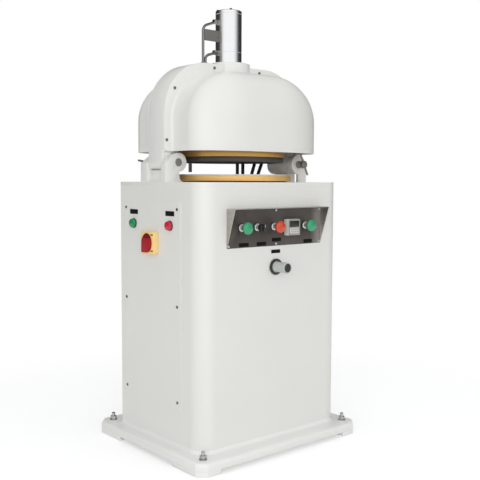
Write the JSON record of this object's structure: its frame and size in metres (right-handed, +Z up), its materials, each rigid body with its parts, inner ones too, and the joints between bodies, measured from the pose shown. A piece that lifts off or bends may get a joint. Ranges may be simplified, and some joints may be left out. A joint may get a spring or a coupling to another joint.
{
  "type": "divider rounder",
  "caption": "Free-standing bakery machine: a tilting domed press head divides a disc of dough and an orbiting table rounds the pieces.",
  "frame": {"origin": "on the floor under the press cylinder's axis, at the middle of the base casting", "axes": "+X to the operator's right when facing the machine, -Y towards the operator, +Z up"},
  "size_m": [0.714, 0.616, 1.495],
  "materials": {
    "paint": "warm off-white enamel",
    "stainless": "brushed",
    "steel": "turned",
    "dark_steel": "oiled",
    "chrome": "polished",
    "gold": "gold anodised",
    "cast_grey": "grey primer",
    "bronze": "bearing bronze",
    "alloy": "machined",
    "black_plastic": "matt",
    "grey_plastic": "matt",
    "white_plastic": "food-grade nylon",
    "green_plastic": "glossy",
    "red_plastic": "glossy",
    "yellow_plastic": "matt",
    "rubber": "matt"
  },
  "bodies": {
    "frame": {"base_casting": "paint", "levelling_bolts": "steel", "body_shell": "paint", "top_deck": "paint", "left_side_panel": "paint", "rear_panel": "paint", "panel_screws": "chrome", "control_hood": "stainless", "button_collars": "chrome", "contact_blocks": "black_plastic", "timer": "grey_plastic", "label_plates": "black_plastic", "lamp_green": "green_plastic", "lamp_red": "red_plastic", "switch_plate": "yellow_plastic", "cable_gland": "black_plastic", "hose_fittings": "chrome", "hydraulic_hoses": "rubber", "hinge_pin": "dark_steel", "spindle_housing": "cast_grey", "spindle_bearings": "steel", "drive_belt": "rubber", "rounding_motor": "cast_grey", "oil_tank": "steel", "pump_motor": "cast_grey"},
    "head": {"yoke": "paint", "yoke_bushes": "bronze", "front_cover": "paint", "rear_cover": "paint", "head_screws": "chrome", "cylinder_tube": "chrome", "cylinder_caps": "dark_steel", "hydraulic_pipes": "dark_steel", "pipe_bracket": "steel", "hose_manifold": "steel", "home_sensor": "grey_plastic"},
    "press": {"piston_rod": "chrome", "crosshead": "alloy", "press_rods": "steel", "press_ring": "gold", "mould_ring": "black_plastic", "compact_cylinders": "alloy"},
    "eccentric": {"eccentric_shaft": "dark_steel", "driven_pulley": "cast_grey"},
    "table": {"table_plate": "alloy", "table_ring": "gold"},
    "lock_pin": {"lock_pin": "dark_steel"},
    "knives": {"divider_knives": "steel"},
    "pads": {"press_pads": "white_plastic"},
    "guide_left": {"guide_crank_left": "dark_steel"},
    "guide_right": {"guide_crank_right": "dark_steel"},
    "plate": {"rounding_plate": "white_plastic"},
    "motor_rotor": {"motor_pulley": "cast_grey"},
    "start_left": {"start_button_left": "green_plastic"},
    "start_right": {"start_button_right": "green_plastic"},
    "stop": {"stop_button": "red_plastic"},
    "selector": {"selector_knob": "black_plastic"},
    "adjuster": {"adjust_knob": "grey_plastic"},
    "main_switch": {"switch_handle": "red_plastic"}
  },
  "joints": [
    {"name": "head_tilt", "type": "hinge", "parent": "frame", "child": "head", "pos_m": [-0.258, 0, 0.964], "axis": [0, -1, 0], "range_deg": [0, 38], "deforming": ["hydraulic_hoses"]},
    {"name": "lock_slide", "type": "slide", "parent": "frame", "child": "lock_pin", "axis": [0, 1, 0], "range_m": [0, 0.024]},
    {"name": "press_stroke", "type": "slide", "parent": "head", "child": "press", "axis": [0, 0, -1], "range_m": [0, 0.041]},
    {"name": "knife_stroke", "type": "slide", "parent": "press", "child": "knives", "axis": [0, 0, -1], "range_m": [0, 0.018]},
    {"name": "pad_stroke", "type": "slide", "parent": "press", "child": "pads", "axis": [0, 0, -1], "range_m": [0, 0.015]},
    {"name": "eccentric_spin", "type": "hinge", "parent": "frame", "child": "eccentric", "pos_m": [0, 0, 0.886], "axis": [0, 0, 1], "continuous": true},
    {"name": "table_orbit", "type": "hinge", "parent": "eccentric", "child": "table", "pos_m": [0.00613, -0.00514, 0.91], "axis": [0, 0, 1], "continuous": true},
    {"name": "plate_lift_out", "type": "slide", "parent": "table", "child": "plate", "axis": [0, -1, 0], "range_m": [0, 0.4]},
    {"name": "guide_left_spin", "type": "hinge", "parent": "frame", "child": "guide_left", "pos_m": [-0.13, -0.11, 0.892], "axis": [0, 0, 1], "continuous": true},
    {"name": "guide_right_spin", "type": "hinge", "parent": "frame", "child": "guide_right", "pos_m": [0.13, -0.11, 0.892], "axis": [0, 0, 1], "continuous": true},
    {"name": "motor_spin", "type": "hinge", "parent": "frame", "child": "motor_rotor", "pos_m": [0.175, 0.07, 0.75], "axis": [0, 0, 1], "continuous": true},
    {"name": "start_left_press", "type": "slide", "parent": "frame", "child": "start_left", "axis": [0, 1, 0], "range_m": [0, 0.005], "stiffness_N_per_m": 600, "springref_m": -0.002},
    {"name": "start_right_press", "type": "slide", "parent": "frame", "child": "start_right", "axis": [0, 1, 0], "range_m": [0, 0.005], "stiffness_N_per_m": 600, "springref_m": -0.002},
    {"name": "stop_press", "type": "slide", "parent": "frame", "child": "stop", "axis": [0, 1, 0], "range_m": [0, 0.005]},
    {"name": "selector_turn", "type": "hinge", "parent": "frame", "child": "selector", "pos_m": [-0.085, -0.27, 0.755], "axis": [0, 1, 0], "range_deg": [-45, 45]},
    {"name": "adjuster_turn", "type": "hinge", "parent": "frame", "child": "adjuster", "pos_m": [0, -0.27, 0.621], "axis": [0, 1, 0], "range_deg": [-150, 150]},
    {"name": "main_switch_turn", "type": "hinge", "parent": "frame", "child": "main_switch", "pos_m": [-0.32, 0.015, 0.7], "axis": [1, 0, 0], "range_deg": [0, 90]}
  ],
  "couplings": [
    {"joint": "table_orbit", "follows": "eccentric_spin", "ratio": -1},
    {"joint": "guide_left_spin", "follows": "eccentric_spin", "ratio": 1},
    {"joint": "guide_right_spin", "follows": "eccentric_spin", "ratio": 1},
    {"joint": "motor_spin", "follows": "eccentric_spin", "ratio": 2.9408}
  ]
}
